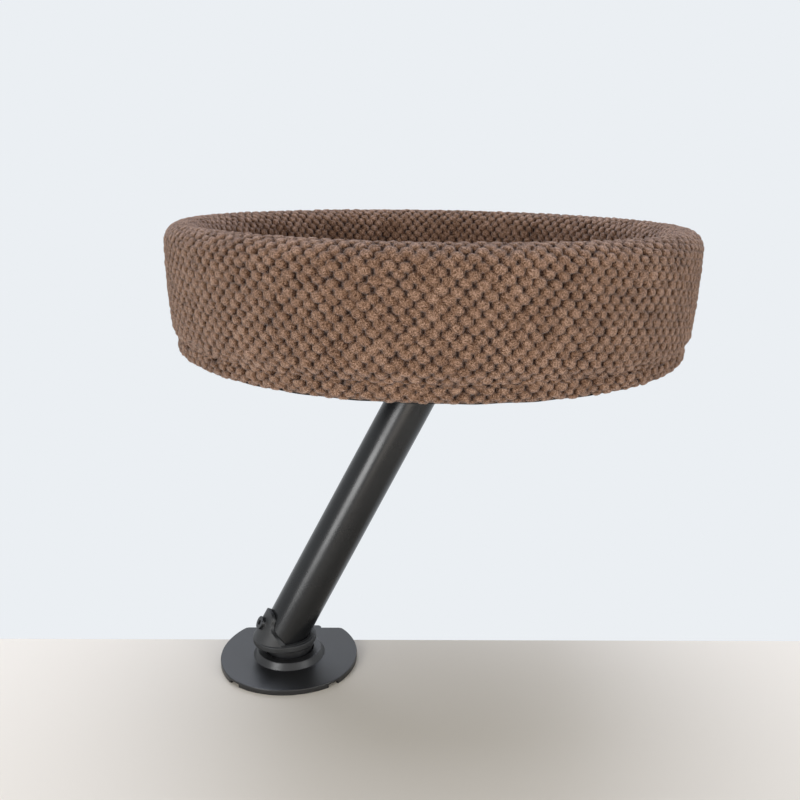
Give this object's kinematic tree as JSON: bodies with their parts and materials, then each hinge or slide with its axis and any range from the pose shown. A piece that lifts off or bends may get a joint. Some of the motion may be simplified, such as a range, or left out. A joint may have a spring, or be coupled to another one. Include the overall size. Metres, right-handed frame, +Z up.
{
  "type": "desk-mounted cat bed",
  "caption": "Round plush cat bed with a padded wall, carried on a leaning tube that swivels on a screw clamp gripping a desk edge, with a second swivel under the bed.",
  "frame": {"origin": "centre of the base on the desk top, on the axis of the lower swivel", "axes": "+Z up along the lower swivel's axis, +Y towards the clamp's spine and away from the desk, +X along the desk edge"},
  "size_m": [0.4055, 0.4055, 0.4965],
  "materials": {
    "cover_plastic": "fine spark-eroded texture",
    "black_steel": "satin powder coat",
    "cast_black": "fine powder coat over a casting",
    "bright_steel": "zinc plated",
    "black_screw": "black oxide",
    "rubber_black": "matt",
    "bearing_black": "turned acetal",
    "knob_plastic": "moulded nylon",
    "plywood": "sanded birch plywood",
    "dust_fabric": "non-woven polypropylene",
    "plush": "popcorn chenille plush",
    "hoop_plastic": "extruded strip",
    "foam": "open-cell foam"
  },
  "bodies": {
    "clamp": {"base_cover": "cover_plastic", "clamp_frame": "black_steel", "swivel_hub": "black_screw", "desk_pad": "rubber_black", "cover_screws": "bright_steel", "pivot_bolt": "bright_steel", "clamp_nut": "black_steel", "base_bearing": "bearing_black"},
    "jaw_pad": {"pressure_pad": "black_steel", "pressure_liner": "rubber_black"},
    "spindle": {"clamp_screw": "bright_steel", "clamp_knob": "knob_plastic", "knob_pin": "bright_steel"},
    "arm": {"swivel_foot": "cast_black", "pivot_washer": "bright_steel", "pivot_nut": "bright_steel", "foot_screw": "black_screw", "pole": "black_steel", "swivel_head": "cast_black", "head_screw": "black_screw", "bed_nut_washer": "bright_steel", "bed_nut": "bright_steel", "bed_bearing": "bearing_black"},
    "bed": {"bed_plate": "black_steel", "bed_bolt": "bright_steel", "bed_screws": "black_screw", "tee_nuts": "bright_steel", "bed_board": "plywood", "dust_cloth": "dust_fabric", "edge_band": "plush", "wall_hoop": "hoop_plastic", "wall_foam": "foam", "wall_cover": "plush", "pad_foam": "foam", "pad_cover": "plush"}
  },
  "joints": [
    {"name": "base_swivel", "type": "hinge", "parent": "clamp", "child": "arm", "pos_m": [0, 0, 0.0155], "axis": [0, 0, 1], "continuous": true},
    {"name": "bed_swivel", "type": "hinge", "parent": "arm", "child": "bed", "pos_m": [0.11407, 0.03099, 0.2646], "axis": [0, 0, 1], "continuous": true},
    {"name": "pad_slide", "type": "slide", "parent": "clamp", "child": "jaw_pad", "axis": [0, 0, 1], "range_m": [-0.035, 0.015]},
    {"name": "screw_turn", "type": "hinge", "parent": "jaw_pad", "child": "spindle", "pos_m": [0, 0, -0.0337], "axis": [0, 0, 1], "range_deg": [-4201, 1801]}
  ],
  "couplings": [
    {"joint": "screw_turn", "follows": "pad_slide", "rad_per_m": 2094.4}
  ]
}
